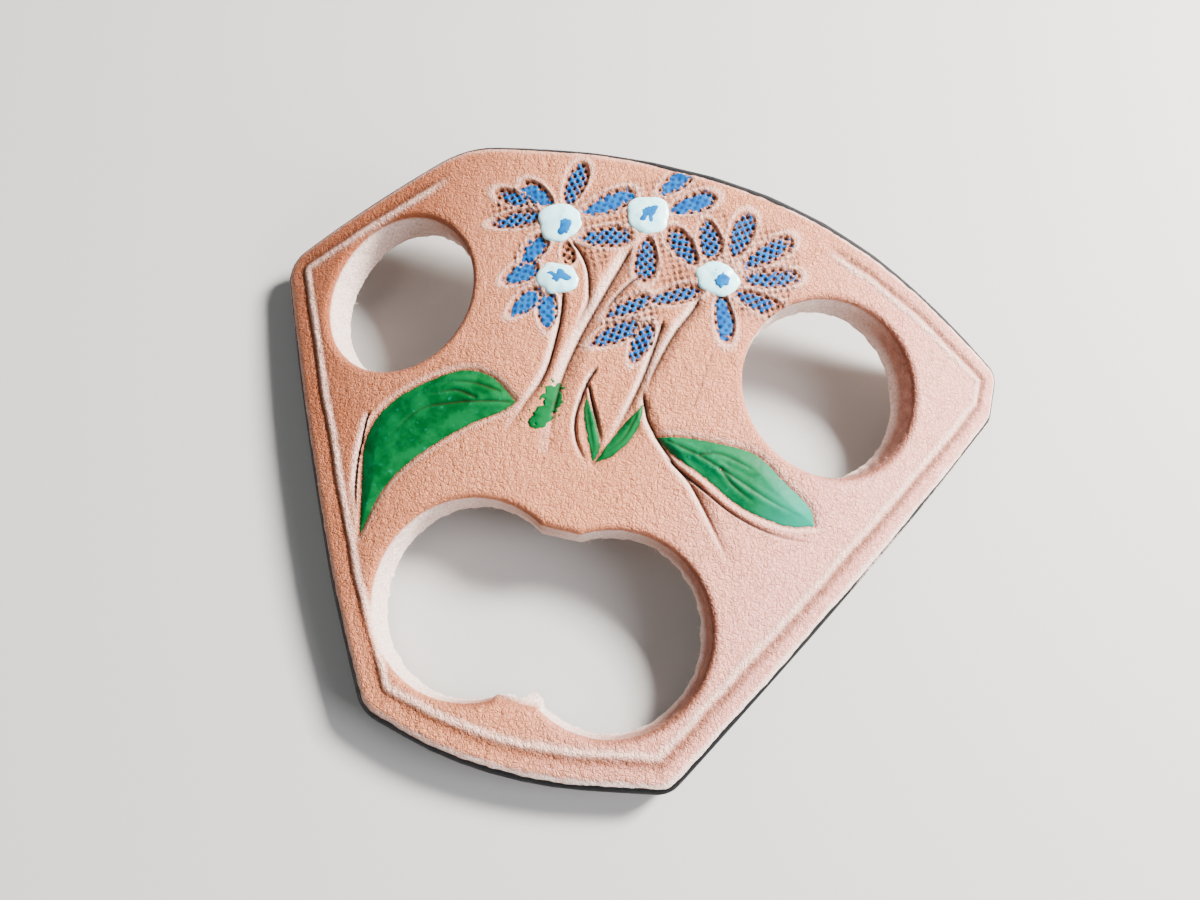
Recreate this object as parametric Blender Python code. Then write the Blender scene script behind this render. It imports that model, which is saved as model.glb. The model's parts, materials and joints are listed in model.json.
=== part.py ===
"""A hand-tooled leather pick holder: a fan-shaped, gently arched blank with two round finger holes,
one double hole, a dyed edge and painted flowers pressed into the grain side.

The blank is laid out flat: X across, Y towards the wide end, H the height over the grain side, so the
flesh side is at H = -THICKNESS. Each piece is cut and pressed flat, then bent over one arch whose crest
runs along Y, and pitched until its corners stand on Z = 0, with the footprint's middle at the origin.
"""

import math

import bmesh
import bpy
from mathutils import Matrix, Vector

MM = 0.001

# The blank
THICKNESS = 4.0 * MM
SHOULDER_X = 45.4 * MM  # the straight side of the right shoulder
WIDE_END_Y = 52.6 * MM
NARROW_END_Y = -16.4 * MM
CORNERS = (  # x, y and corner radius, counter-clockwise from the right shoulder's lower corner
    (SHOULDER_X, 33.0 * MM, 3.0 * MM),
    (SHOULDER_X, 38.9 * MM, 2.5 * MM),
    (13.9 * MM, WIDE_END_Y, 80.0 * MM),
    (-21.5 * MM, 49.2 * MM, 12.0 * MM),
    (-41.9 * MM, 33.1 * MM, 3.5 * MM),
    (-22.0 * MM, -1.8 * MM, 80.0 * MM),
    (-14.9 * MM, -13.0 * MM, 4.0 * MM),
    (-1.0 * MM, NARROW_END_Y, 45.0 * MM),
    (16.3 * MM, -13.5 * MM, 3.0 * MM),
)
CORNER_STEPS = 6
GRAIN_BEVEL = 0.5 * MM

# The arch
BEND_RADIUS = 80.0 * MM  # of the grain side
CREST_X = 2.0 * MM
LAND_WIDTH = 10.0 * MM  # the flat strip left along the crest
FACET = 4.0 * MM  # length of each flat step around the arch

# The holes
HOLE_CENTRE = (24.3 * MM, 30.3 * MM)  # right hole; the left one is its mirror image
LEFT_HOLE_SIZE = (17.4 * MM, 18.7 * MM)
RIGHT_HOLE_SIZE = (19.8 * MM, 19.6 * MM)
LOBE_RADIUS = 10.1 * MM
LOBE_SPACING = 14.3 * MM
WAIST_CUT = 4.0 * MM  # length of the straight cut across each cusp of the double hole
HOLE_TAPER = 0.3 * MM  # a hole is this much smaller in radius at the flesh side
HOLE_STEPS = 40

# The dyed edge
COAT_THICKNESS = 0.4 * MM
COAT_FOOT = 0.5 * MM  # bare leather left below the coat
CLEARANCE = 0.3 * MM  # between any two neighbouring pieces

# The pressed line around the border
BORDER_INSET = 3.1 * MM
BORDER_WIDTH = 0.9 * MM
BORDER_DEPTH = 0.4 * MM
BORDER_OPENING = (-23.2 * MM, 21.7 * MM)  # the line stops between these along the wide end

# The paint
PAINT_THICKNESS = 0.3 * MM
PAINT_SINK = 0.1 * MM  # the paint lies this far below the grain side
DAB_THICKNESS = 0.4 * MM
EYE_THICKNESS = 0.25 * MM
DAB_STEPS = 14

# Each flower: centre, width and height of its white dab, and its petals as bearing from the centre,
# reach to the petal's middle, length, width and lean off the bearing
FLOWERS = {
    "flower_1": (
        (-8.2 * MM, 41.1 * MM, 4.2 * MM, 4.3 * MM),
        (
            (84, 4.9 * MM, 4.3 * MM, 1.3 * MM, 0),
            (139, 4.4 * MM, 3.3 * MM, 1.1 * MM, 14),
            (161, 6.0 * MM, 2.6 * MM, 0.9 * MM, 8),
            (186, 5.0 * MM, 4.4 * MM, 1.0 * MM, 15),
            (241, 4.2 * MM, 2.8 * MM, 1.2 * MM, 3),
            (37, 5.7 * MM, 5.0 * MM, 1.3 * MM, 0),
            (-6, 5.3 * MM, 4.6 * MM, 1.4 * MM, 21),
        ),
    ),
    "flower_2": (
        (0.9 * MM, 44.1 * MM, 4.3 * MM, 4.2 * MM),
        (
            (66, 5.0 * MM, 3.5 * MM, 1.1 * MM, -14),
            (29, 5.1 * MM, 4.1 * MM, 1.2 * MM, 2),
            (-80, 5.2 * MM, 4.0 * MM, 1.4 * MM, -2),
        ),
    ),
    "flower_3": (
        (-6.9 * MM, 34.7 * MM, 4.0 * MM, 3.2 * MM),
        (
            (183, 4.1 * MM, 3.0 * MM, 1.3 * MM, 35),
            (231, 4.4 * MM, 3.1 * MM, 1.1 * MM, 4),
            (268, 3.9 * MM, 3.1 * MM, 1.1 * MM, 15),
        ),
    ),
    "flower_4": (
        (9.7 * MM, 38.6 * MM, 4.3 * MM, 3.3 * MM),
        (
            (148, 5.2 * MM, 3.9 * MM, 1.4 * MM, -11),
            (112, 4.6 * MM, 3.4 * MM, 1.5 * MM, 0),
            (75, 5.7 * MM, 4.4 * MM, 1.5 * MM, 7),
            (42, 6.3 * MM, 5.4 * MM, 1.3 * MM, 3),
            (15, 5.7 * MM, 5.4 * MM, 1.1 * MM, 5),
            (-17, 5.3 * MM, 5.2 * MM, 1.1 * MM, 9),
            (-69, 4.4 * MM, 4.4 * MM, 1.0 * MM, -2),
            (217, 4.9 * MM, 4.8 * MM, 0.9 * MM, -10),
        ),
    ),
}
EYES = {  # offset from the flower's centre, length, width and direction
    "flower_1": (0.6 * MM, -0.4 * MM, 1.5 * MM, 1.1 * MM, 100),
    "flower_2": (0.0 * MM, 0.0 * MM, 1.9 * MM, 1.2 * MM, 80),
    "flower_3": (0.0 * MM, 0.1 * MM, 2.1 * MM, 1.1 * MM, 15),
    "flower_4": (0.4 * MM, -0.1 * MM, 1.8 * MM, 1.4 * MM, 120),
}
BUD_PETALS = (  # x, y, length, width and direction
    (1.2 * MM, 33.2 * MM, 4.2 * MM, 0.8 * MM, 37),
    (0.5 * MM, 30.0 * MM, 4.6 * MM, 1.2 * MM, 38),
    (3.4 * MM, 29.6 * MM, 3.6 * MM, 1.1 * MM, 79),
)
LEAVES = {  # tip to tip, then how far each side bows out to the left of that line
    "left_leaf": ((-20.2 * MM, 3.6 * MM), (-7.9 * MM, 20.6 * MM), 8.8 * MM, 2.3 * MM),
    "right_leaf": ((7.3 * MM, 20.1 * MM), (25.1 * MM, 15.3 * MM), 3.4 * MM, -2.2 * MM),
    "sprout_left_blade": ((-0.8 * MM, 22.8 * MM), (1.0 * MM, 16.6 * MM), 0.5 * MM, -0.6 * MM),
    "sprout_right_blade": ((5.1 * MM, 23.2 * MM), (2.5 * MM, 16.6 * MM), 0.9 * MM, -0.7 * MM),
    "stem_foot": ((-5.6 * MM, 18.4 * MM), (-3.7 * MM, 22.9 * MM), 0.9 * MM, -0.8 * MM),
}
LEAF_STEPS = 8

LEATHER_TAN = (0.60, 0.34, 0.22)
EDGE_BLACK = (0.010, 0.010, 0.014)
PETAL_BLUE = (0.015, 0.26, 0.70)
DAB_WHITE = (0.72, 0.90, 0.93)
LEAF_GREEN = (0.0, 0.21, 0.06)

RECESS_DEPTH = PAINT_SINK + PAINT_THICKNESS + CLEARANCE  # pressed into the leather under each dab


# Outlines, as lists of flat points, counter-clockwise


def inset_corners(distance):
    """The blank's corners moved in by one distance from every side, with their radii to suit."""
    moved = []
    for i, (x, y, radius) in enumerate(CORNERS):
        here = Vector((x, y))
        before = (here - Vector(CORNERS[i - 1][:2])).normalized()
        after = (Vector(CORNERS[(i + 1) % len(CORNERS)][:2]) - here).normalized()
        inward = Vector((-before.y - after.y, before.x + after.x))
        corner = here + inward * (distance / (1 + before.dot(after)))
        moved.append((corner, max(radius - distance, COAT_THICKNESS)))
    return moved


def blank_outline(distance=0.0):
    """The blank's rounded outline, moved in by one distance."""
    corners = inset_corners(distance)
    points = []
    for i, (corner, radius) in enumerate(corners):
        before = (corner - corners[i - 1][0]).normalized()
        after = (corners[(i + 1) % len(corners)][0] - corner).normalized()
        turn = before.angle_signed(after) * -1
        start = corner - before * radius * math.tan(turn / 2)
        centre = start + Vector((-before.y, before.x)) * radius
        for step in range(CORNER_STEPS + 1):
            arm = start - centre
            arm.rotate(Matrix.Rotation(turn * step / CORNER_STEPS, 2))
            points.append(centre + arm)
    return points


def oval(x, y, length, width, direction=0.0, steps=DAB_STEPS):
    """An ellipse whose length points along direction, in degrees."""
    along = Vector((math.cos(math.radians(direction)), math.sin(math.radians(direction))))
    across = Vector((-along.y, along.x))
    turns = (2 * math.pi * i / steps for i in range(steps))
    return [
        Vector((x, y)) + along * length / 2 * math.cos(t) + across * width / 2 * math.sin(t)
        for t in turns
    ]


def double_hole(radius):
    """Two overlapping circles whose cusps are cut off straight."""
    middle = LOBE_SPACING / 2
    half_arc = math.pi - math.acos((middle - WAIST_CUT / 2) / radius)
    points = []
    for side in (0, math.pi):
        centre = Vector((middle * math.cos(side), 0))
        for i in range(HOLE_STEPS + 1):
            t = side - half_arc + 2 * half_arc * i / HOLE_STEPS
            points.append(centre + Vector((math.cos(t), math.sin(t))) * radius)
    return points


def bow(start, end, rise, steps):
    """Points on the arc from start to end that rises this far to the left of the straight line."""
    chord = end - start
    left = Vector((-chord.y, chord.x)).normalized()
    radius = (chord.length**2 / 4 + rise**2) / (2 * abs(rise))
    centre = (start + end) / 2 + left * (rise - math.copysign(radius, rise))
    sweep = 4 * math.atan2(2 * abs(rise), chord.length) * -math.copysign(1, rise)
    points = []
    for i in range(steps + 1):
        arm = start - centre
        arm.rotate(Matrix.Rotation(sweep * i / steps, 2))
        points.append(centre + arm)
    return points


def leaf_outline(start, end, high, low):
    """A leaf between two arcs that share its tips."""
    start, end = Vector(start), Vector(end)
    upper = bow(start, end, high, LEAF_STEPS)
    lower = bow(start, end, low, LEAF_STEPS)
    return lower + upper[-2:0:-1]


def grown(points, distance):
    """An outline moved out by one distance from every side, with its corners kept sharp."""
    moved = []
    for i, here in enumerate(points):
        before = (here - points[i - 1]).normalized()
        after = (points[(i + 1) % len(points)] - here).normalized()
        outward = Vector((before.y + after.y, -before.x - after.x))
        moved.append(here + outward * (distance / (1 + before.dot(after))))
    return moved


# Solids, laid out flat


def loft(rings):
    """A closed solid through outlines of equal length, each (points, height), from the lowest up."""
    mesh = bmesh.new()
    loops = [[mesh.verts.new((p.x, p.y, height)) for p in points] for points, height in rings]
    for low, high in zip(loops, loops[1:]):
        for i in range(len(low)):
            j = (i + 1) % len(low)
            mesh.faces.new((low[i], low[j], high[j], high[i]))
    mesh.faces.new(reversed(loops[0]))
    mesh.faces.new(loops[-1])
    return mesh


def ring_solid(outer, inner, low, high):
    """A closed band between two outlines of equal length."""
    mesh = bmesh.new()
    sides = [
        [mesh.verts.new((p.x, p.y, height)) for p in points]
        for points, height in ((outer, low), (outer, high), (inner, high), (inner, low))
    ]
    for a, b in zip(sides, sides[1:] + sides[:1]):
        for i in range(len(a)):
            j = (i + 1) % len(a)
            mesh.faces.new((a[i], a[j], b[j], b[i]))
    return mesh


def cutters():
    """Everything cut or pressed out of the blank, as flat solids that reach past its faces."""
    past = THICKNESS
    x, y = HOLE_CENTRE
    taper = HOLE_TAPER * (THICKNESS + 2 * past) / THICKNESS
    grow = HOLE_TAPER * past / THICKNESS
    solids = []
    for centre_x, (width, height) in ((-x, LEFT_HOLE_SIZE), (x, RIGHT_HOLE_SIZE)):
        wide = oval(centre_x, y, width + 2 * grow, height + 2 * grow, 0, HOLE_STEPS)
        narrow = oval(
            centre_x, y, width + 2 * (grow - taper), height + 2 * (grow - taper), 0, HOLE_STEPS
        )
        solids.append(loft(((narrow, -THICKNESS - past), (wide, past))))
    wide, narrow = double_hole(LOBE_RADIUS + grow), double_hole(LOBE_RADIUS + grow - taper)
    solids.append(loft(((narrow, -THICKNESS - past), (wide, past))))
    for outline in dab_outlines().values():
        recess = grown(outline, CLEARANCE)
        solids.append(loft(((recess, -RECESS_DEPTH), (recess, past))))
    solids.append(border_cutter(past))
    return solids


def border_cutter(past):
    """The pressed line: a strip that follows the outline and stops along the wide end."""
    outer = blank_outline(BORDER_INSET - BORDER_WIDTH / 2)
    inner = blank_outline(BORDER_INSET + BORDER_WIDTH / 2)
    middle = blank_outline(BORDER_INSET)
    first, last = (
        min(
            (i for i, p in enumerate(middle) if p.y > HOLE_CENTRE[1]),
            key=lambda i: abs(middle[i].x - stop),
        )
        for stop in BORDER_OPENING
    )
    run = [i % len(middle) for i in range(first, last + len(middle) + 1)]
    strip = [outer[i] for i in run] + [inner[i] for i in reversed(run)]
    mesh = bmesh.new()
    low, high = (
        [mesh.verts.new((p.x, p.y, height)) for p in strip] for height in (-BORDER_DEPTH, past)
    )
    count, half = len(strip), len(run)
    for i in range(count):
        j = (i + 1) % count
        mesh.faces.new((low[i], low[j], high[j], high[i]))
    for i in range(half - 1):
        pair = (i, i + 1, count - 2 - i, count - 1 - i)
        mesh.faces.new([high[k] for k in pair])
        mesh.faces.new([low[k] for k in reversed(pair)])
    return mesh


def dab_outlines():
    """Every dab of paint by name."""
    outlines = {}
    for flower, ((x, y, width, height), petals) in FLOWERS.items():
        outlines[flower + "_dab"] = oval(x, y, width, height)
        for number, (bearing, reach, length, breadth, lean) in enumerate(petals, 1):
            out = math.radians(bearing)
            middle = x + reach * math.cos(out), y + reach * math.sin(out)
            outlines[f"{flower}_petal_{number}"] = oval(*middle, length, breadth, bearing + lean)
    for number, petal in enumerate(BUD_PETALS, 1):
        outlines[f"bud_petal_{number}"] = oval(*petal)
    for name, leaf in LEAVES.items():
        outlines[name] = leaf_outline(*leaf)
    return outlines


def eye_outline(flower):
    """The blue eye painted on a flower's white dab."""
    x, y = FLOWERS[flower][0][:2]
    dx, dy, length, width, direction = EYES[flower]
    return oval(x + dx, y + dy, length, width, direction)


# Bending


def arch_step(steps, height):
    """Where the arch is after some whole facets from the land: distance from the land, and level."""
    turn = steps * FACET / BEND_RADIUS
    radius = BEND_RADIUS + height
    return radius * math.sin(turn), height - radius * (1 - math.cos(turn))


def bend(point):
    """Carries a flat point onto the arch."""
    across = point.x - CREST_X
    beyond = abs(across) - LAND_WIDTH / 2
    if beyond <= 0:
        return Vector(point)
    steps, part = divmod(beyond / FACET, 1)
    near, far = arch_step(steps, point.z), arch_step(steps + 1, point.z)
    out = near[0] + (far[0] - near[0]) * part
    level = near[1] + (far[1] - near[1]) * part
    x = CREST_X + math.copysign(LAND_WIDTH / 2 + out, across)
    return Vector((x, point.y, level))


def fold_lines(low, high):
    """Where the arch's facets meet, between two places across the flat blank."""
    reach = max(abs(low - CREST_X), abs(high - CREST_X))
    count = int(max(reach - LAND_WIDTH / 2, 0) / FACET) + 1
    offsets = [LAND_WIDTH / 2 + FACET * i for i in range(count)]
    lines = [CREST_X + side * offset for offset in offsets for side in (-1, 1)]
    return [x for x in lines if low < x < high]


def standing_pose():
    """The pitch that stands the bent blank on its shoulders and on its narrow end, and the shift that
    then brings the middle of the footprint to the origin and the lowest points to Z = 0."""
    foot = [bend(Vector((p.x, p.y, -THICKNESS))) for p in blank_outline(COAT_THICKNESS + CLEARANCE)]
    waist_y = HOLE_CENTRE[1] / 2
    shoulders = [p for p in foot if p.y > waist_y]
    narrow_end = [p for p in foot if p.y <= waist_y]
    flat, steep = 0.0, math.pi / 4
    while steep - flat > 1e-6:
        pitch = (flat + steep) / 2
        turn = Matrix.Rotation(pitch, 3, "X")
        if min((turn @ p).z for p in shoulders) < min((turn @ p).z for p in narrow_end):
            flat = pitch
        else:
            steep = pitch
    edge = [
        turn @ bend(Vector((p.x, p.y, height)))
        for height in (COAT_FOOT - THICKNESS, -GRAIN_BEVEL)
        for p in blank_outline()
    ]
    middle_x, middle_y = ((min(values) + max(values)) / 2 for values in list(zip(*edge))[:2])
    return turn, Vector((-middle_x, -middle_y, -min((turn @ p).z for p in foot)))


# Objects


def material(name, colour, roughness):
    found = bpy.data.materials.new(name)
    found.use_nodes = True
    shader = found.node_tree.nodes["Principled BSDF"]
    shader.inputs["Base Color"].default_value = (*colour, 1)
    shader.inputs["Roughness"].default_value = roughness
    shader.inputs["Metallic"].default_value = 0.0
    found.diffuse_color = (*colour, 1)
    return found


def mesh_object(name, solid):
    """An object from a flat solid."""
    mesh = bpy.data.meshes.new(name)
    bmesh.ops.recalc_face_normals(solid, faces=solid.faces)
    solid.to_mesh(mesh)
    solid.free()
    made = bpy.data.objects.new(name, mesh)
    bpy.context.scene.collection.objects.link(made)
    return made


def bend_object(target, pose):
    """Folds an object's flat mesh over the arch, facet by facet, and stands it up."""
    turn, shift = pose
    solid = bmesh.new()
    solid.from_mesh(target.data)
    reach = [v.co.x for v in solid.verts]
    for x in fold_lines(min(reach), max(reach)):
        whole = solid.verts[:] + solid.edges[:] + solid.faces[:]
        bmesh.ops.bisect_plane(solid, geom=whole, plane_co=(x, 0, 0), plane_no=(1, 0, 0))
    bmesh.ops.triangulate(solid, faces=solid.faces[:])
    for vertex in solid.verts:
        vertex.co = turn @ bend(vertex.co) + shift
    bmesh.ops.recalc_face_normals(solid, faces=solid.faces)
    solid.to_mesh(target.data)
    solid.free()


def cut(target, tools):
    """Takes the tools, which may overlap one another, out of the target's mesh."""
    for index, tool in enumerate(tools):
        cutter = mesh_object(f"cutter_{index}", tool)
        cutter.hide_render = True
        cutter.display_type = "WIRE"
        carve = target.modifiers.new(cutter.name, "BOOLEAN")
        carve.object = cutter
        carve.operation = "DIFFERENCE"
        carve.solver = "MANIFOLD"  # the recesses' floors are coplanar where they overlap
    seen = target.evaluated_get(bpy.context.evaluated_depsgraph_get())
    carved = bpy.data.meshes.new_from_object(seen)
    for modifier in list(target.modifiers):
        bpy.data.objects.remove(modifier.object)
        target.modifiers.remove(modifier)
    target.data = carved


def make_leather():
    foot = blank_outline(COAT_THICKNESS + CLEARANCE)
    rim = blank_outline(COAT_THICKNESS + CLEARANCE + GRAIN_BEVEL)
    rings = ((foot, -THICKNESS), (foot, -GRAIN_BEVEL), (rim, 0.0))
    leather = mesh_object("leather_body", loft(rings))
    cut(leather, cutters())
    return leather


def make_edge_coat():
    band = ring_solid(
        blank_outline(), blank_outline(COAT_THICKNESS), -THICKNESS + COAT_FOOT, -GRAIN_BEVEL
    )
    return mesh_object("edge_coat", band)


def make_dab(name, outline, low, high):
    return mesh_object(name, loft(((outline, low), (outline, high))))


def build():
    for old in list(bpy.data.objects):
        bpy.data.objects.remove(old)

    pose = standing_pose()
    pieces = [(make_leather(), material("leather", LEATHER_TAN, 0.6))]
    pieces.append((make_edge_coat(), material("edge_dye", EDGE_BLACK, 0.35)))

    top = -PAINT_SINK
    bed = top - PAINT_THICKNESS
    for name, outline in dab_outlines().items():
        is_dab = name.endswith("_dab")
        colour = DAB_WHITE if is_dab else PETAL_BLUE if "petal" in name else LEAF_GREEN
        high = bed + DAB_THICKNESS if is_dab else top
        pieces.append((make_dab(name, outline, bed, high), material(name, colour, 0.3)))
    eye_bed = bed + DAB_THICKNESS + CLEARANCE
    for flower in FLOWERS:
        name = flower + "_eye"
        eye = make_dab(name, eye_outline(flower), eye_bed, eye_bed + EYE_THICKNESS)
        pieces.append((eye, material(name, PETAL_BLUE, 0.3)))

    for piece, finish in pieces:
        bend_object(piece, pose)
        piece.data.materials.clear()
        piece.data.materials.append(finish)


build()
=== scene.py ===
import json
import math

import bmesh
import bpy
import numpy as np
from mathutils import Euler, Matrix, Vector, noise
from mathutils.geometry import convex_hull_2d


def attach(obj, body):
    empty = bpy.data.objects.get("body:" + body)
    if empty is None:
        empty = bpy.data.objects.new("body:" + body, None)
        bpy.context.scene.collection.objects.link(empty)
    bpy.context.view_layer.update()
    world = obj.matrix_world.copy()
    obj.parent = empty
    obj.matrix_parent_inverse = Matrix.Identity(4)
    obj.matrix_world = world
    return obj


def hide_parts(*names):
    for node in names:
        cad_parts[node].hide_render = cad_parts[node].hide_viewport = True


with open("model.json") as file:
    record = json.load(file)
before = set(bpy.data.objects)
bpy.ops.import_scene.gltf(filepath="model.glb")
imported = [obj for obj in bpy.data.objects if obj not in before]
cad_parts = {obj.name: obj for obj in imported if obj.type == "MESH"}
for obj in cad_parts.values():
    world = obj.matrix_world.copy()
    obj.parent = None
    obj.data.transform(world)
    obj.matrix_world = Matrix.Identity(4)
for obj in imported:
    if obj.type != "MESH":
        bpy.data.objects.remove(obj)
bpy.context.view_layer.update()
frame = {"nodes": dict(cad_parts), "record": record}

# The pick holder is worked on as a flat blank, in millimetres: u across, v towards the wide end and
# h over the grain side. Each piece is bent over the arch and stood up when it is done.

mm = 0.001
arch = {
    "crest": 2.0,  # u of the crest
    "land": 10.0,  # width of the flat strip along it
    "radius": 80.0,  # of the grain side
    "thickness": 4.0,
    "landPoint": (2.0, 27.0, -4.0),  # the back's resting mount on the blank
}

backLand = next(m for m in frame["record"]["mounts"] if m["name"] == "back_land")
pitch = math.atan2(backLand["axis"][1], -backLand["axis"][2])
standing = np.array(Matrix.Rotation(pitch, 3, "X"))
shift = np.array(backLand["pos_m"]) - standing @ (np.array(arch["landPoint"]) * mm)


def toArch(flat):  # blank to world
    u, v, h = flat.T
    across = u - arch["crest"]
    half = arch["land"] / 2
    angle = np.maximum(np.abs(across) - half, 0) / arch["radius"]
    reach = arch["radius"] + h
    x = arch["crest"] + np.sign(across) * (np.minimum(np.abs(across), half) + reach * np.sin(angle))
    z = h - reach * (1 - np.cos(angle))
    return np.column_stack((x, v, z)) * mm @ standing.T + shift


def toFlat(world):  # world to blank
    x, v, z = (((world - shift) @ standing) / mm).T
    across = x - arch["crest"]
    half = arch["land"] / 2
    out = np.maximum(np.abs(across) - half, 0)
    level = z + arch["radius"]
    u = np.sign(across) * (np.minimum(np.abs(across), half) + arch["radius"] * np.arctan2(out, level))
    return np.column_stack((arch["crest"] + u, v, np.hypot(out, level) - arch["radius"]))


# Meshes


def vertexPlaces(obj):
    places = np.empty(len(obj.data.vertices) * 3, np.float32)
    obj.data.vertices.foreach_get("co", places)
    return places.reshape(-1, 3).astype(float)


def moveVertices(obj, places):
    obj.data.vertices.foreach_set("co", np.ascontiguousarray(places, np.float32).ravel())
    obj.data.update()


def startFresh():  # object mode, with nothing selected
    if bpy.context.object and bpy.context.object.mode != "OBJECT":
        bpy.ops.object.mode_set(mode="OBJECT")
    bpy.ops.object.select_all(action="DESELECT")


def pick(obj):  # makes it active and the only one selected
    startFresh()
    obj.select_set(True)
    bpy.context.view_layer.objects.active = obj


def editAll():  # edit mode with everything selected
    bpy.ops.object.mode_set(mode="EDIT")
    bpy.ops.mesh.select_all(action="SELECT")


def closeUp():  # turns all faces outwards and goes back to object mode
    bpy.ops.mesh.select_all(action="SELECT")
    bpy.ops.mesh.normals_make_consistent(inside=False)
    bpy.ops.object.mode_set(mode="OBJECT")


def selectFaces(obj, wanted):  # leaves the object in edit mode with these faces selected
    bpy.ops.object.mode_set(mode="EDIT")
    bpy.ops.mesh.select_mode(type="FACE")
    bpy.ops.mesh.select_all(action="DESELECT")
    shape = bmesh.from_edit_mesh(obj.data)
    shape.faces.ensure_lookup_table()
    for index in np.flatnonzero(wanted):
        shape.faces[index].select_set(True)
    bmesh.update_edit_mesh(obj.data)


def faceCentres(obj):
    centres = np.empty(len(obj.data.polygons) * 3, np.float32)
    obj.data.polygons.foreach_get("center", centres)
    return centres.reshape(-1, 3).astype(float)


def post(name, loop, levels):  # a closed post with this outline, in steps from the lowest level up
    startFresh()
    bpy.ops.mesh.primitive_circle_add(vertices=len(loop), fill_type="NGON")
    made = bpy.context.object
    made.name = name
    moveVertices(made, np.column_stack((loop, np.full(len(loop), levels[0]))))
    editAll()
    for low, high in zip(levels, levels[1:]):
        bpy.ops.mesh.extrude_region_move(TRANSFORM_OT_translate={"value": (0, 0, high - low)})
    closeUp()
    return made


def carve(target, tool, operation):
    pick(target)
    cut = target.modifiers.new(operation.lower(), "BOOLEAN")
    cut.object = tool
    cut.operation = operation
    cut.solver = "MANIFOLD"
    bpy.ops.object.modifier_apply(modifier=cut.name)
    bpy.data.objects.remove(tool)


def gridPatch(name, centre, size, cell):  # a flat grid of square cells round this centre
    startFresh()
    counts = [max(2, round(side / cell)) for side in size]
    bpy.ops.mesh.primitive_grid_add(x_subdivisions=counts[0], y_subdivisions=counts[1], size=1)
    made = bpy.context.object
    made.name = name
    moveVertices(made, vertexPlaces(made) * (*size, 1) + (*centre, 0))
    return made


def thicken(obj, depth):  # gives a flat sheet its second side, this far below it
    pick(obj)
    editAll()
    bpy.ops.mesh.extrude_region_move(TRANSFORM_OT_translate={"value": (0, 0, -depth)})
    closeUp()


def finishPiece(obj, nodes, finish, sharpest=75):
    pick(obj)
    bpy.ops.object.shade_smooth_by_angle(angle=math.radians(sharpest))
    moveVertices(obj, toArch(vertexPlaces(obj)))
    obj.data.materials.clear()
    obj.data.materials.append(finish)
    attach(obj, "root")
    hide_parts(*nodes)


def paintAttribute(obj, name, values):
    layer = obj.data.attributes.new(name, "FLOAT", "POINT")
    layer.data.foreach_set("value", np.ascontiguousarray(values, np.float32))


# Fields over the blank


def smoothStep(low, high, value):
    t = np.clip((value - low) / (high - low), 0, 1)
    return t * t * (3 - 2 * t)


noiseStep = {"layer": 7.3, "octave": 3.1}  # how far apart two layers and two octaves are taken


def roughness(points, size, layer, octaves=1):  # noise from about -1 to 1, with lumps this wide
    places = points[:, :2] / size
    total = np.zeros(len(points))
    for octave in range(octaves):
        gain = 2.0**octave
        rows = (places * gain).tolist()
        level = layer * noiseStep["layer"] + octave * noiseStep["octave"]
        total += np.fromiter((noise.noise((x, y, level)) for x, y in rows), float, len(rows)) / gain
    return total


def smoothLine(places, steps):  # a Catmull-Rom curve through these places
    knots = [np.array(p, float) for p in places]
    knots = [2 * knots[0] - knots[1], *knots, 2 * knots[-1] - knots[-2]]
    points = []
    for a, b, c, d in zip(knots, knots[1:], knots[2:], knots[3:]):
        for t in np.arange(steps) / steps:
            bend = (2 * a - 5 * b + 4 * c - d) * t**2 + (3 * b - a - 3 * c + d) * t**3
            points.append(b + ((c - a) * t + bend) / 2)
    return np.array(points + [knots[-2]])


def alongLine(points, line):  # distance to a line, positive on its left, and the share of it left behind
    nearest = np.full(len(points), np.inf)
    side = np.ones(len(points))
    share = np.zeros(len(points))
    lengths = np.linalg.norm(np.diff(line, axis=0), axis=1)
    behind = 0.0
    for start, end, length in zip(line, line[1:], lengths):
        along = (end - start) / length
        off = points - start
        t = np.clip(off @ along, 0, length)
        gap = np.hypot(*(off - t[:, None] * along).T)
        closer = gap < nearest
        nearest[closer] = gap[closer]
        side[closer] = np.where(along[0] * off[closer, 1] - along[1] * off[closer, 0] < 0, -1, 1)
        share[closer] = (behind + t[closer]) / lengths.sum()
        behind += length
    return nearest * side, share


def insideLoop(points, loop):
    inside = np.zeros(len(points), bool)
    for (ax, ay), (bx, by) in zip(loop, np.roll(loop, -1, axis=0)):
        if ay != by:
            crossing = (points[:, 1] < ay) != (points[:, 1] < by)
            at = ax + (points[:, 1] - ay) * (bx - ax) / (by - ay)
            inside ^= crossing & (points[:, 0] < at)
    return inside


def loopGap(points, loop):
    return np.abs(alongLine(points, np.vstack((loop, loop[:1])))[0])


def nearLine(points, line, reach):  # the points in a line's box, grown by its reach
    low, high = line.min(0) - reach, line.max(0) + reach
    return np.all((points > low) & (points < high), axis=1)


# What the frame says about the blank


def flatNode(node):
    return toFlat(vertexPlaces(frame["nodes"][node]))


def evenLoop(corners, spacing):  # a closed loop of even steps through these corners
    closed = np.vstack((corners, corners[:1]))
    lengths = np.linalg.norm(np.diff(closed, axis=0), axis=1)
    travelled = np.concatenate(((0,), np.cumsum(lengths)))
    count = round(travelled[-1] / spacing)
    stops = np.arange(count) * (travelled[-1] / count)
    return np.column_stack([np.interp(stops, travelled, closed[:, i]) for i in (0, 1)])


def blankOutline():
    edge = flatNode("edge_coat")[:, :2]
    hull = edge[convex_hull_2d([Vector(p) for p in edge])]
    middle = hull.mean(0)
    hull = hull[np.argsort(np.arctan2(*(hull - middle).T[::-1]))]
    steps = np.linalg.norm(hull - np.roll(hull, 1, axis=0), axis=1)
    return hull[steps > 0.02]  # without doubled corners


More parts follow.
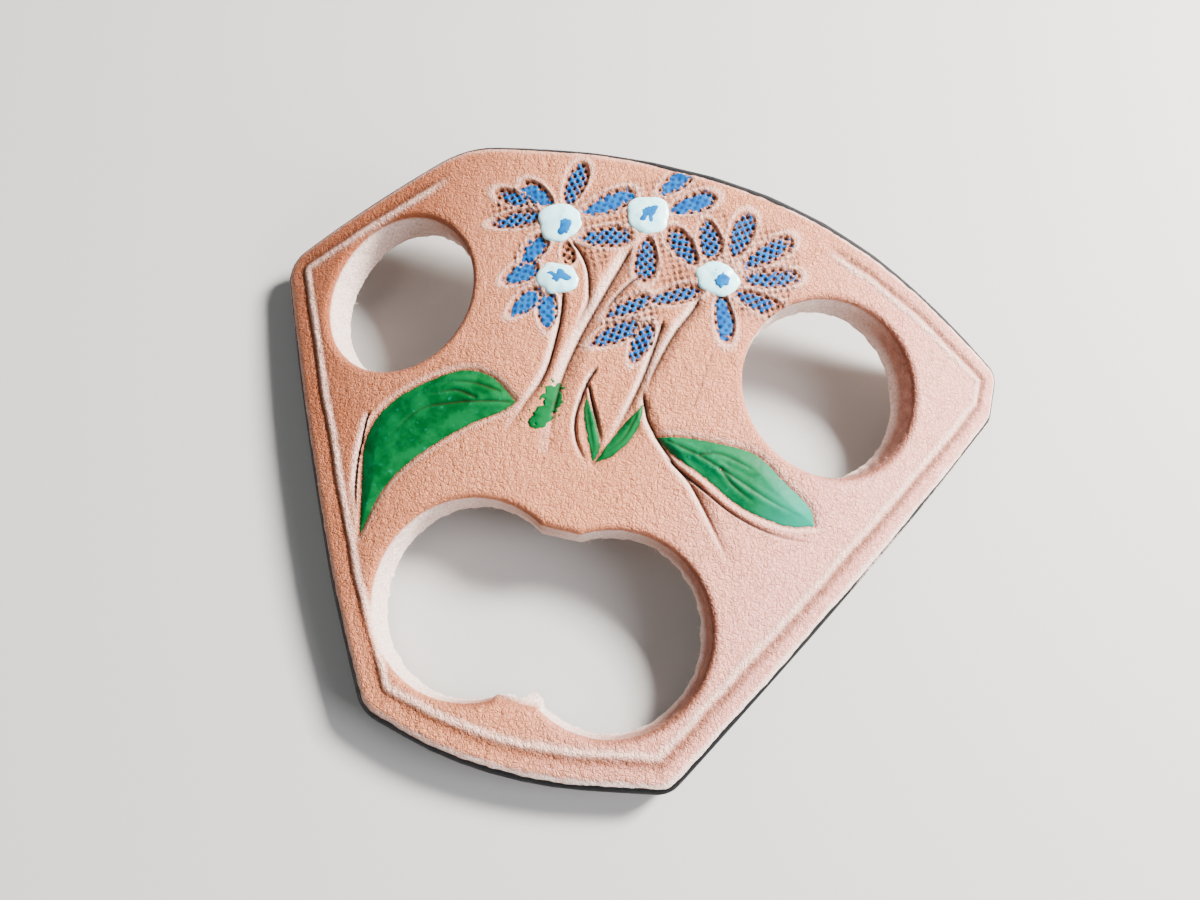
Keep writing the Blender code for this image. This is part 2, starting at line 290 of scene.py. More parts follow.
def holeBoxes():  # lowest and highest corner of each hole's rim on the grain side
    slack = 0.05
    mesh = frame["nodes"]["leather_body"].data
    flat = flatNode("leather_body")
    faces = np.array([face.vertices for face in mesh.polygons])
    levels = flat[faces][:, :, 2]
    walls = (levels.max(1) > -slack) & (levels.min(1) < -arch["thickness"] + slack)
    corners = flat[np.unique(faces[walls])]
    corners = corners[corners[:, 2] > -slack, :2]
    upper = corners[:, 1] > 15  # the round holes are above this v, and the double hole is below it
    groups = (upper & (corners[:, 0] < 0), upper & (corners[:, 0] > 0), ~upper)
    return [(corners[g].min(0), corners[g].max(0)) for g in groups]


outline = blankOutline()
leftHole, rightHole, doubleHole = holeBoxes()
lobeRadius = (doubleHole[1][1] - doubleHole[0][1]) / 2
lobeMiddle = (doubleHole[1][0] - doubleHole[0][0]) / 2 - lobeRadius
waistCut = 4.0  # length of the straight cut across each cusp of the double hole
print("blank", outline.min(0).round(1), outline.max(0).round(1), "lobes", lobeRadius, lobeMiddle)


def edgeDepth(points):  # how far inside the outline
    depth = np.full(len(points), np.inf)
    for start, end in zip(outline, np.roll(outline, -1, axis=0)):
        along = (end - start) / np.linalg.norm(end - start)
        depth = np.minimum(depth, (points - start) @ (-along[1], along[0]))
    return depth


def roundHoleGap(points, box):
    middle, half = (box[0] + box[1]) / 2, (box[1] - box[0]) / 2
    off = points - middle
    share = np.hypot(*(off / half).T)
    return np.hypot(*off.T) * (1 - 1 / np.maximum(share, 0.05))


def holeGap(points):  # how far outside the nearest hole
    gaps = [roundHoleGap(points, leftHole), roundHoleGap(points, rightHole)]
    for side in (-1, 1):
        gaps.append(np.hypot(points[:, 0] - side * lobeMiddle, points[:, 1]) - lobeRadius)
    cusp = math.sqrt(lobeRadius**2 - (lobeMiddle - waistCut / 2) ** 2)
    box = np.abs(points) - (waistCut / 2, cusp)
    gaps.append(np.hypot(*np.maximum(box, 0).T) + np.minimum(box.max(1), 0))
    return np.min(gaps, axis=0)


def roundLoop(box, spacing):
    middle, half = (box[0] + box[1]) / 2, (box[1] - box[0]) / 2
    steps = round(2 * math.pi * half.mean() / spacing)
    t = np.arange(steps) * 2 * math.pi / steps
    return middle + half * np.column_stack((np.cos(t), np.sin(t)))


def doubleLoop(spacing):
    half = math.pi - math.acos((lobeMiddle - waistCut / 2) / lobeRadius)
    steps = round(2 * half * lobeRadius / spacing)
    turns = np.linspace(-half, half, steps + 1)
    loop = []
    for side, start in ((1, 0), (-1, math.pi)):
        t = start + turns
        loop.append(np.column_stack((side * lobeMiddle + lobeRadius * np.cos(t), lobeRadius * np.sin(t))))
    return np.vstack(loop)


# Tooling: everything cut or pressed into the grain side

stamps = {
    "pitch": 0.68,  # of the checkered face
    "grow": (1.6, 1.3),  # how much longer and wider a petal's print is than its CAD solid
    "flare": 0.22,  # how much wider a print is at its outer end
    "press": 0.24,  # depth of a print
    "pit": 0.2,  # depth of a pit below it
    "edge": (0.9, 1.6),  # how far inside the outline the prints start, and are whole
    "rim": (0.16, 0.06),  # width and height of the leather pushed up round a print
    "turned": ((0.94, 0.34), (-0.34, 0.94)),  # direction of the stamp on the ground
    "wide": {"flower_1_petal_3": (5.3, 1.9)},  # length and width of a print of its own size
    "bare": ((-6.5, 37.8, 2.9, 1.7, -67),),  # prints without paint: u, v, length, width, direction
    "ground": (  # worked ground between the petals: u, v, length, width, direction, strength
        (-13.0, 42.0, 7.0, 6.0, 20, 0.9),
        (-4.0, 42.8, 8.5, 7.5, 20, 0.75),
        (-10.6, 37.0, 4.5, 3.2, 50, 0.8),
        (-3.6, 38.2, 3.6, 3.0, -60, 0.9),
        (1.8, 47.2, 11.0, 3.5, 10, 0.5),
        (4.6, 39.6, 8.0, 7.5, 30, 0.8),
        (12.4, 40.3, 12.5, 11.0, 10, 0.8),
        (1.6, 31.8, 7.5, 6.0, 50, 0.9),
        (-8.9, 32.4, 6.0, 4.5, 50, 0.6),
        (6.6, 45.4, 6.5, 3.0, 0, 0.4),
    ),
}
knife = {
    "cuts": (  # widths of the bevels towards -u and +u, depth, and places from the flower down
        (0.45, 0.9, 0.28, (-6.6, 39.4), (-5.2, 38.2), (-4.0, 36.5), (-3.3, 34.3), (-3.1, 32.6), (-3.7, 29.1)),
        (0.75, 0.6, 0.4, (-5.9, 33.7), (-5.4, 29.6), (-5.5, 24.4), (-6.8, 20.3), (-7.6, 17.9)),
        (1.2, 1.5, 0.42, (0.2, 40.5), (-1.4, 34.8), (-3.0, 28.4), (-3.7, 23.4), (-3.6, 19.1), (-3.3, 16.6)),
        (0.35, 0.8, 0.22, (1.6, 37.0), (0.5, 35.5), (-0.5, 33.7), (-1.2, 31.8)),
        (0.7, 1.0, 0.36, (5.2, 32.9), (5.0, 30.3), (4.4, 25.4), (3.4, 20.9), (2.6, 18.2)),
        (0.9, 1.1, 0.34, (8.5, 36.2), (7.9, 34.3), (6.8, 31.9), (6.0, 29.3), (5.4, 26.6), (5.2, 24.1)),
        (0.7, 0.9, 0.32, (4.7, 24.8), (5.5, 22.8), (6.4, 21.1), (9.5, 17.9), (12.2, 15.6), (16.9, 9.6)),
        (0.45, 0.35, 0.3, (-0.3, 26.1), (-1.0, 24.1), (-1.3, 20.4), (-0.6, 17.8), (1.0, 15.6)),
        (0.3, 0.3, 0.2, (-0.9, 24.1), (-0.1, 22.4), (0.9, 20.4), (1.8, 18.4)),
        (0.65, 0.2, 0.3, (-23.1, 16.6), (-23.1, 13.8), (-22.8, 11.1), (-22.0, 7.9), (-21.1, 5.4)),
        (0.2, 0.3, 0.12, (8.4, 18.4), (12.0, 16.4), (16.5, 14.2), (21.0, 13.2), (25.6, 13.4)),
    ),
    "slit": (0.21, 0.09),  # distance at which the dark line of painted shade in a cut starts, and is full
    "slitDepth": 0.2,
    "ridge": 0.05,  # height of the leather pushed up beside a cut
    "shade": 0.5,  # painted shade on the bevel towards +u, which faces away from the light
    "flankHighlightLevel": 0.8,  # painted highlight on the bevel towards -u, which faces the light
    "scratches": (((10.9, 30.1), (10.2, 24.1)),),
    "scratch": (0.12, 0.08, 0.4),  # width, depth and darkness of a scratch
}
leaves = {  # one side from tip to tip, the other side back, and the veins
    "left_leaf": (
        (
            (-20.1, 3.4), (-21.3, 7.6), (-22.7, 13.8), (-20.6, 18.4), (-15.1, 22.4), (-11.2, 22.7),
            (-7.7, 20.5),
        ),
        ((-8.9, 19.1), (-12.2, 16.8), (-16.5, 12.6), (-19.0, 8.6)),
        (
            ((-7.8, 20.4), (-10.9, 19.8), (-14.6, 18.8), (-17.7, 17.4), (-20.2, 13.8)),
            ((-9.7, 21.2), (-13.1, 21.5), (-16.4, 20.9)),
            ((-12.0, 20.0), (-14.4, 20.3), (-17.0, 19.3)),
        ),
    ),
    "right_leaf": (
        ((7.1, 20.1), (9.4, 18.6), (13.0, 17.1), (17.1, 15.1), (22.0, 14.4), (25.3, 15.2)),
        ((24.3, 17.0), (21.1, 18.9), (17.5, 20.9), (12.9, 21.0), (9.4, 20.7)),
        (
            ((8.4, 20.0), (11.9, 19.2), (15.8, 17.9), (19.9, 16.5), (23.9, 15.6)),
            ((11.9, 19.3), (14.0, 19.9), (17.9, 19.1)),
            ((14.2, 18.4), (16.0, 17.0), (18.6, 15.8)),
        ),
    ),
    "sprout_left_blade": (
        ((-0.9, 22.9), (-0.4, 20.2), (1.5, 15.9)),
        ((1.9, 17.6), (0.9, 20.2)),
        (((-0.6, 22.0), (0.5, 19.2), (1.6, 16.6)),),
    ),
    "sprout_right_blade": (
        ((5.2, 23.3), (3.3, 20.0), (1.6, 15.9)),
        ((3.6, 17.4), (5.2, 20.4)),
        (((4.9, 22.4), (4.0, 19.2), (2.4, 17.0)),),
    ),
    "stem_foot": (
        ((-6.4, 18.5), (-5.6, 18.0), (-4.5, 18.6), (-3.4, 20.2), (-3.1, 22.2), (-3.8, 23.6)),
        ((-5.0, 22.8), (-5.2, 21.2), (-5.8, 19.8)),
        (),
    ),
}
leafCuts = {"leaf": 0.32, "blade": 0.2, "foot": 0.0}  # depth of the cut round each kind of leaf
border = {
    "inset": 2.75,  # of the pressed line from the outline
    "depth": 0.17,
    "width": 0.24,
    "grooveShadeWidth": 0.5,  # width of the painted shade in it
    "second": (1.2, 0.10, 0.12),  # further in, its depth and its width
    "crest": (0.72, 0.09, 0.4),  # the ridge between them
    "ripple": 0.45,  # from wrinkle to wrinkle across the ridge
    "opening": (-23.2, 21.7),  # u where the line stops along the wide end
    "wideEnd": 40.0,  # v past which it stops
    "fade": 1.5,  # half the length over which it fades
    "reach": 33.0,  # mean distance from the middle, for the ripple
}
rims = {
    "lip": 0.75,  # width of the rounded lip of a hole
    "lipDrop": 0.5,
    "bevel": 1.15,  # width of the bevel inside the dyed edge
    "bevelDrop": 0.55,
    "coat": 0.35,  # thickness of the dyed edge
}


def ovalOf(node):  # centre, direction, width and length of a dab of paint
    points = flatNode(node)[:, :2]
    gaps = np.linalg.norm(points[:, None] - points[None], axis=2)
    a, b = np.unravel_index(gaps.argmax(), gaps.shape)
    along = (points[b] - points[a]) / gaps[a, b]
    centre = (points[a] + points[b]) / 2
    across = np.array((-along[1], along[0]))
    return centre, along, np.ptp((points - centre) @ across), gaps[a, b]


def heading(degrees):
    angle = math.radians(degrees)
    return np.array((math.cos(angle), math.sin(angle)))


def leafLoop(name):
    out, back, _ = leaves[name]
    there = smoothLine(out, 6)
    home = smoothLine((out[-1], *back, out[0]), 6)
    loop = np.vstack((there[:-1], home[:-1]))
    area = np.sum(loop[:, 0] * np.roll(loop[:, 1], -1) - loop[:, 1] * np.roll(loop[:, 0], -1))
    return loop if area > 0 else loop[::-1]


petalNodes = sorted(n for n in frame["nodes"] if "petal" in n)
prints = []  # centre, direction, length and width
for node in petalNodes:
    centre, along, width, length = ovalOf(node)
    size = (length + stamps["grow"][0], width + stamps["grow"][1])
    prints.append((centre, along, *stamps["wide"].get(node, size)))
for u, v, length, width, direction in stamps["bare"]:
    prints.append((np.array((u, v)), heading(direction), length, width))
grounds = [
    (np.array((u, v)), heading(direction), length, width, strength)
    for u, v, length, width, direction, strength in stamps["ground"]
]
cutLines = [smoothLine(places, 6) for _, _, _, *places in knife["cuts"]]
scratchLines = [smoothLine(cut, 4) for cut in knife["scratches"]]
leafLoops = {name: leafLoop(name) for name in leaves}


def ovalShare(points, centre, along, length, width):  # 0 at the middle of an oval, 1 on its rim
    off = points - centre
    a, b = off @ along, off @ (-along[1], along[0])
    flare = 1 + stamps["flare"] * np.clip(a / (length / 2), -1, 1)
    return np.hypot(a / (length / 2), b / flare / (width / 2)), a, b


def checker(a, b):  # the stamp's face: studs at 1, pits at -1
    turn = 2 * math.pi / stamps["pitch"] * math.sqrt(0.5)
    return (np.cos((a + b) * turn) + np.cos((a - b) * turn)) / 2


def atLeast(mark, amount, box=slice(None)):  # raises a mark to this amount where it is lower
    mark[box] = np.maximum(mark[box], amount)


# Each of the next four works one kind of tooling into the levels, the darkness (pressed leather with painted
# shade) and the painted highlights.


def pressStamps(points, depth, level, dark, paintedHighlight):  # returns how far the pits lie below their prints
    calm = smoothStep(*stamps["edge"], depth)
    wobble = 0.12 * roughness(points, 0.9, 1)
    warped = points + 0.09 * np.column_stack((roughness(points, 0.8, 21), roughness(points, 0.8, 22)))

    ground = np.zeros(len(points))
    for centre, along, length, width, strength in grounds:
        share, _, _ = ovalShare(points, centre, along, length, width)
        atLeast(ground, strength * (1 - smoothStep(0.75, 1.1, share + wobble)))

    rimWidth, rimHeight = stamps["rim"]
    pressed = np.zeros(len(points))
    face = checker(*(warped @ np.array(stamps["turned"])).T)
    for centre, along, length, width in prints:
        share, _, _ = ovalShare(points, centre, along, length, width)
        inside = calm * (1 - smoothStep(0.82, 1.02, share + wobble * 0.5))
        rim = calm * np.exp(-(((share - 1.12) * width / 2 / rimWidth) ** 2))
        atLeast(pressed, inside)
        _, a, b = ovalShare(warped, centre, along, length, width)
        face = np.where(inside > 0.3, checker(a, b), face)
        level += rimHeight * rim * (1 - inside)
        # painted highlight on the leather pushed up round a print
        atLeast(paintedHighlight, 0.5 * rim * (1 - inside))
    level -= stamps["press"] * pressed
    strength = np.maximum(pressed, calm * ground * (0.6 + 0.5 * roughness(points, 1.6, 23)))
    # pits and worked ground: pressed leather darkened, with painted shade in the pits
    atLeast(dark, np.sqrt(np.maximum(strength, 0)) * (0.08 + 0.92 * smoothStep(0.1, -0.3, face)))
    return stamps["pit"] * strength * smoothStep(0.1, -0.5, face)


def cutStems(points, level, dark, paintedHighlight):
    for (left, right, cutDepth, *_), line in zip(knife["cuts"], cutLines):
        box = nearLine(points, line, 2.0)
        gap, share = alongLine(points[box], line)
        taper = smoothStep(0, 0.1, share) * (1 - smoothStep(0.6, 1.0, share) * 0.8)
        beside = np.abs(gap) / np.where(gap > 0, right, left)
        level[box] -= cutDepth * taper * np.maximum(1 - beside, 0) ** 1.2
        level[box] += knife["ridge"] * taper * np.exp(-(((beside - 1.25) / 0.25) ** 2))
        slit = smoothStep(*knife["slit"], np.abs(gap)) * smoothStep(0, 0.06, share) * (1 - share**4)
        level[box] -= knife["slitDepth"] * slit
        shaded = taper * smoothStep(0.0, 0.1, gap) * (1 - smoothStep(0.2, 1.15, beside))
        # painted shade in the slit and on the bevel towards +u
        atLeast(dark, np.maximum(slit, knife["shade"] * shaded), box)
        # painted highlight on the bevel towards -u
        flankHighlight = taper * smoothStep(0.02, -0.12, gap) * (1 - smoothStep(0.45, 1.1, beside))
        atLeast(paintedHighlight, knife["flankHighlightLevel"] * flankHighlight, box)
    width, depth, darkness = knife["scratch"]
    for line in scratchLines:
        box = nearLine(points, line, 0.5)
        gap, _ = alongLine(points[box], line)
        scratch = np.exp(-((gap / width) ** 2))
        level[box] -= depth * scratch
        atLeast(dark, darkness * scratch, box)


def cutLeaves(points, level, dark, paintedHighlight):
    for name, loop in leafLoops.items():
        box = nearLine(points, loop, 1.6)
        here = points[box]
        gap = loopGap(here, loop)
        inside = insideLoop(here, loop)
        cutDepth = leafCuts[name.split("_")[-1]]
        width = np.where(inside, 1.5, 0.6)
        level[box] -= cutDepth * np.maximum(1 - gap / width, 0) ** 1.2
        # painted shade in the cut round a leaf
        atLeast(dark, 0.7 * np.exp(-((gap / 0.1) ** 2)) * (cutDepth > 0), box)
        ring = (cutDepth > leafCuts["blade"]) * ~inside
        # painted highlight on the flank outside a leaf
        atLeast(paintedHighlight, 0.3 * ring * smoothStep(0.1, 0.25, gap) * smoothStep(0.7, 0.4, gap), box)
        burr = ring * np.exp(-(((gap - 0.85) / 0.12) ** 2)) * (0.6 + 0.6 * roughness(here, 2.5, 27))
        level[box] -= 0.05 * burr
        atLeast(dark, 0.4 * burr, box)
        for vein in leaves[name][2]:
            off, share = alongLine(here, smoothLine(vein, 6))
            fade = (1 - share**3) * inside * smoothStep(0.0, 0.6, gap)
            level[box] -= 0.09 * np.exp(-((off / 0.13) ** 2)) * fade
            level[box] += 0.06 * np.exp(-(((np.abs(off) - 0.45) / 0.28) ** 2)) * fade
            # painted shade in the vein
            atLeast(dark, 0.8 * np.exp(-((off / 0.11) ** 2)) * fade, box)


def pressBorder(points, depth, level, dark, paintedHighlight):  # returns the painted shade in its groove
    low, high = border["opening"]
    fade = border["fade"]
    opening = (points[:, 1] > border["wideEnd"]) * smoothStep(low - fade, low + fade, points[:, 0])
    opening *= 1 - smoothStep(high - fade, high + fade, points[:, 0])
    wandering = depth + 0.13 * roughness(points, 3.0, 2) + 0.05 * roughness(points, 0.7, 25)
    off = wandering - border["inset"]

    def stroke(width, more=0.0):  # this wide, and this much further in than the line
        return (1 - opening) * np.exp(-(((off - more) / width) ** 2))

    line = stroke(border["width"])
    more, secondDepth, width = border["second"]
    second = stroke(width, more)
    more, rise, width = border["crest"]
    crest = stroke(width, more)
    turned = np.arctan2(*(points - outline.mean(0)).T) * border["reach"]
    ripple = np.sin(turned * 2 * math.pi / border["ripple"] + 4 * roughness(points, 1.2, 24))
    crumbs = roughness(points, 0.38, 26, 2)
    level += crest * (rise + 0.03 * ripple + 0.035 * crumbs)
    level -= border["depth"] * line + secondDepth * second
    # painted shade in the grooves
    atLeast(dark, 0.15 * line + 0.3 * second)
    # painted highlight along the crest
    atLeast(paintedHighlight, crest * np.clip(0.85 + 0.2 * ripple + 0.6 * crumbs, 0, 1))
    return stroke(border["grooveShadeWidth"]) * np.clip(1.15 + 1.2 * crumbs, 0, 1)


def bevelDrop(depth):
    return rims["bevelDrop"] * np.clip(1 - (depth - rims["coat"]) / rims["bevel"], 0, 1) ** 2


def relief(points):
    # level of the grain side in mm; how dark it is, from pressed leather and painted shade; its painted
    # highlights; the painted shade in its border groove; how far a pit lies below its print
    depth = edgeDepth(points)
    level, dark, paintedHighlight = np.zeros((3, len(points)))
    pits = pressStamps(points, depth, level, dark, paintedHighlight)
    cutStems(points, level, dark, paintedHighlight)
    cutLeaves(points, level, dark, paintedHighlight)
    grooveShade = pressBorder(points, depth, level, dark, paintedHighlight)
    level -= bevelDrop(depth)
    lip = np.clip(1 - holeGap(points) / rims["lip"], 0, 1)
    level -= rims["lipDrop"] * (1 - np.sqrt(1 - 0.96 * lip**2))
    level += 0.035 * roughness(points, 6.0, 3) + 0.014 * roughness(points, 0.8, 4, 2)
    return level, dark, paintedHighlight, grooveShade, pits


def fineGap(points):  # distance to the nearest fine tooling
    gap = np.full(len(points), 9.0)
    for centre, along, length, width in prints + [ground[:4] for ground in grounds]:
        share, _, _ = ovalShare(points, centre, along, length, width)
        gap = np.minimum(gap, (share - 1) * width / 2)
    closed = [np.vstack((loop, loop[:1])) for loop in leafLoops.values()]
    for line in cutLines + scratchLines + closed:
        box = nearLine(points, line, 2)
        gap[box] = np.minimum(gap[box], np.abs(alongLine(points[box], line)[0]))
    return gap


# Finishes


class Wire:  # one output of a node, so that shader maths reads as sums
    def __init__(self, finish, socket):
        self.finish = finish
        self.socket = socket

    def maths(self, operation, first, second):
        return self.finish.node("ShaderNodeMath", {"operation": operation}, {0: first, 1: second})

    def __add__(self, other):
        return self.maths("ADD", self, other)

    def __sub__(self, other):
        return self.maths("SUBTRACT", self, other)

    def __rsub__(self, other):
        return self.maths("SUBTRACT", other, self)

    def __mul__(self, other):
        return self.maths("MULTIPLY", self, other)

    __radd__ = __add__
    __rmul__ = __mul__


class Finish:  # one material and the nodes in it
    def __init__(self, name, **constants):
        self.material = bpy.data.materials.new(name)
        self.material.use_nodes = True
        self.tree = self.material.node_tree
        self.shader = self.tree.nodes["Principled BSDF"]
        for socket, value in constants.items():
            self.shader.inputs[socket.replace("_", " ")].default_value = value
        self.place = self.node("ShaderNodeTexCoord", {}, {}, "Object")

    def feed(self, socket, value):
        if isinstance(value, Wire):
            self.tree.links.new(value.socket, socket)
        else:
            socket.default_value = value

    def node(self, kind, settings, values, output=0):
        made = self.tree.nodes.new(kind)
        for key, value in settings.items():
            setattr(made, key, value)
        for key, value in values.items():
            self.feed(made.inputs[key], value)
        return Wire(self, made.outputs[output])

    def noise(self, size, detail, sharpness=0.5, stretch=None):  # lumps this many mm wide
        place = self.place
        if stretch:
            place = self.node("ShaderNodeMapping", {}, {"Vector": place, "Scale": stretch})
        values = {"Vector": place, "Scale": 1 / (size * mm), "Detail": detail, "Roughness": sharpness}
        return self.node("ShaderNodeTexNoise", {}, values)

    def cellEdges(self, size, warp):  # distance to the edge of cells this wide, bent by this share
        scale = 1 / (size * mm)
        lumps = self.node("ShaderNodeTexNoise", {}, {"Vector": self.place, "Scale": scale, "Detail": 2}, 1)
        warping = {0: lumps, "Scale": warp * size * mm}
        bent = self.node("ShaderNodeVectorMath", {"operation": "SCALE"}, warping)
        bent = self.node("ShaderNodeVectorMath", {"operation": "ADD"}, {0: self.place, 1: bent})
        settings = {"feature": "DISTANCE_TO_EDGE"}
        return self.node("ShaderNodeTexVoronoi", settings, {"Vector": bent, "Scale": scale}, "Distance")

    def ramp(self, value, low, high):
        limits = {"Value": value, "From Min": low, "From Max": high}
        return self.node("ShaderNodeMapRange", {"interpolation_type": "SMOOTHSTEP"}, limits)

    def attribute(self, name):
        return self.node("ShaderNodeAttribute", {"attribute_name": name}, {}, "Fac")

    def blend(self, share, first, second):
        return self.node("ShaderNodeMix", {"data_type": "RGBA"}, {0: share, 6: first, 7: second}, 2)

    def bump(self, height, depth, strength=1.0):
        values = {"Height": height, "Distance": depth * mm, "Strength": strength}
        self.feed(self.shader.inputs["Normal"], self.node("ShaderNodeBump", {}, values))

    def paint(self, colour, gloss):
        self.feed(self.shader.inputs["Base Color"], colour)
        self.feed(self.shader.inputs["Roughness"], gloss)
        return self.material


leatherLook = {
    # light and deep are the leather's tan; deep also stands for painted shade on the side away from the light
    "light": (0.60, 0.212, 0.100, 1),
    "deep": (0.34, 0.088, 0.028, 1),
    # painted glare: the pink of the lamps' sheen on the side towards +x
    "glarePink": (0.76, 0.345, 0.290, 1),
    # the dark of pressed leather, with painted shade in pits, slits and grooves
    "pressed": (0.022, 0.008, 0.005, 1),
    # painted shade, brown, for the grain's creases, the border groove, the lips and the walls away from the
    # light
    "shadeBrown": (0.16, 0.036, 0.008, 1),
    # painted highlight on lit flanks and crests
    "paintedHighlight": (0.95, 0.640, 0.520, 1),
    "raw": (0.93, 0.760, 0.690, 1),
    "rawShade": (0.58, 0.360, 0.270, 1),
}


def leatherFinish():
    look = leatherLook
    f = Finish("toolingLeather", Specular_IOR_Level=0.3, Sheen_Weight=0.04)
    east = f.node("ShaderNodeSeparateXYZ", {}, {0: f.place}) + (f.noise(14, 3) - 0.5) * 0.02
    south = 0 - f.node("ShaderNodeSeparateXYZ", {}, {0: f.place}, 1)
    # painted shade: the leather is darker and deeper orange towards -x, away from the light
    colour = f.blend(f.ramp(east, -0.034, -0.012), look["deep"], look["light"])
    # painted glare: pink towards +x and a little towards the lower end, where the lamps glare
    paintedGlare = f.ramp(east + south * 0.3, 0.0, 0.035) * 0.9
    colour = f.blend(paintedGlare, colour, look["glarePink"])
    grain = f.noise(0.42, 4, 0.62)
    creases = f.ramp(f.cellEdges(0.46, 0.9), 0.0, 0.16)
    wrinkles = f.noise(0.8, 4, 0.7, (1.0, 0.5, 1.0))
    colour = f.blend(f.ramp(grain, 0.35, 0.75) * 0.4, colour, look["deep"])
    # painted shade in the grain's creases
    colour = f.blend((1 - creases) * f.ramp(wrinkles, 0.4, 0.65) * 0.4, colour, look["shadeBrown"])
    # painted highlights
    colour = f.blend(f.attribute("paintedHighlight") * 0.9, colour, look["paintedHighlight"])
    # brown painted shade from the border groove, lips and walls
    colour = f.blend(f.attribute("shadeBrown") * 0.85, colour, look["shadeBrown"])
    # pressed leather darkened, with painted shade
    colour = f.blend(f.attribute("pressed"), colour, look["pressed"])
    fuzz = f.noise(0.3, 5, 0.7)
    rawColour = f.blend(f.ramp(fuzz, 0.3, 0.75), look["raw"], look["rawShade"])
    raw = f.attribute("raw")
    colour = f.blend(raw, colour, rawColour)
    height = creases * 0.24 + grain * 0.8 + wrinkles * 1.1
    f.bump(height * (1 - raw) + fuzz * raw * 1.2, 0.26)
    gloss = 0.44 + f.ramp(grain, 0.3, 0.8) * 0.16 + raw * 0.4
    return f.paint(colour, gloss)


def edgeFinish():
    f = Finish("blackEdgeDye", Specular_IOR_Level=0.2)
    worn = f.ramp(f.noise(0.9, 4, 0.65), 0.62, 0.78)
    colour = f.blend(worn * 0.25, (0.0015, 0.0018, 0.003, 1), (0.04, 0.02, 0.012, 1))
    f.bump(f.noise(0.5, 4, 0.6), 0.08, 0.6)
    return f.paint(colour, 0.38 + f.noise(1.4, 3) * 0.3)


def paintFinish(name, colour, deep, bright, streak, gloss, shine):
    f = Finish(name, Specular_IOR_Level=shine)
    strokes = f.noise(0.9, 4, 0.6, streak)
    mixed = f.blend(f.ramp(strokes, 0.35, 0.62), deep, colour)
    mixed = f.blend(f.ramp(f.noise(0.5, 3), 0.6, 0.8) * 0.6, mixed, bright)
    mixed = f.blend(f.attribute("tint"), mixed, bright)
    # where the paint is thin in the pits, dark leather with painted shade shows, and the tooling's painted
    # shade shows in the leaf veins
    mixed = f.blend(f.attribute("thinPaintAndShade"), mixed, leatherLook["pressed"])
    f.bump(strokes, 0.04, 0.4)
    return f.paint(mixed, gloss + f.noise(0.7, 2) * 0.2)


# The leather

sheet = {
    "cell": 0.54,  # of the plain leather
    "near": 1.3,  # cells this near to any tooling are halved
    "fine": 0.35,  # and those this near to fine tooling are halved again
    "edge": 4.2,  # depth to which the edge counts as tooled
    "post": (-3.6, -2.2, -0.8),  # levels of the edges round the side
    "wallStep": 0.3,  # along the wall of a hole
    "wallEdges": (0.35, 0.6, 0.36),  # edges round it: from the flesh side, from the grain side, apart
    "past": 2.0,  # how far the cutting posts stand out
    "sunk": 0.14,  # how far the leather lies below a leaf's paint
}
walls = {
    "lean": 0.3,  # how far they lean in towards the flesh side
    "fluff": 0.09,
    "shreds": 0.25,  # at the flesh side
    "tear": ((0.4, -7.6), (1.9, 1.5)),  # place and size of the torn flap on the lower cusp
    "tornBy": (0.7, 2.2),  # how far it hangs in, and how ragged it is
    "suede": 0.07,  # height of the nap
}


def buildLeather():
    low, high = outline.min(0) - 1, outline.max(0) + 1
    body = gridPatch("tooledLeather", (low + high) / 2, high - low, sheet["cell"])
    thicken(body, arch["thickness"])
    for reach in (sheet["near"], sheet["fine"]):
        centres = faceCentres(body)
        flat = centres[:, :2]
        gap = fineGap(flat)
        if reach == sheet["near"]:
            gap = np.minimum(gap, np.abs(holeGap(flat)) - 0.1)
            gap = np.minimum(gap, np.maximum(edgeDepth(flat) - sheet["edge"], -edgeDepth(flat)))
        selectFaces(body, (gap < reach) & (centres[:, 2] > -0.01))
        bpy.ops.mesh.subdivide(number_cuts=1)
        bpy.ops.object.mode_set(mode="OBJECT")
    print("sheet", len(body.data.polygons), "faces")

    lowest, highest = -arch["thickness"] - sheet["past"], sheet["past"]
    inset = outline - outline.mean(0)
    inset = outline.mean(0) + inset * (1 - rims["coat"] / np.hypot(*inset.T)[:, None])
    carve(body, post("blank", evenLoop(inset, 0.4), (lowest, *sheet["post"], highest)), "INTERSECT")
    first, last, apart = sheet["wallEdges"]
    levels = (lowest, *np.arange(first - arch["thickness"], -last, apart), highest)
    step = sheet["wallStep"]
    for loop in (roundLoop(leftHole, step), roundLoop(rightHole, step), doubleLoop(step)):
        carve(body, post("hole", loop, levels), "DIFFERENCE")

    pick(body)
    editAll()
    bpy.ops.mesh.remove_doubles(threshold=0.035)
    bpy.ops.mesh.dissolve_degenerate(threshold=0.004)
    bpy.ops.mesh.quads_convert_to_tris(quad_method="BEAUTY", ngon_method="BEAUTY")
    bpy.ops.object.mode_set(mode="OBJECT")
    print("cut", len(body.data.polygons), "triangles")
    return body


def holeSlope(flat):  # direction away from the nearest hole
    step = 0.02
    slope = np.column_stack([
        holeGap(flat + (step, 0)) - holeGap(flat - (step, 0)),
        holeGap(flat + (0, step)) - holeGap(flat - (0, step)),
    ])
    return slope / np.maximum(np.hypot(*slope.T), 1e-6)[:, None]


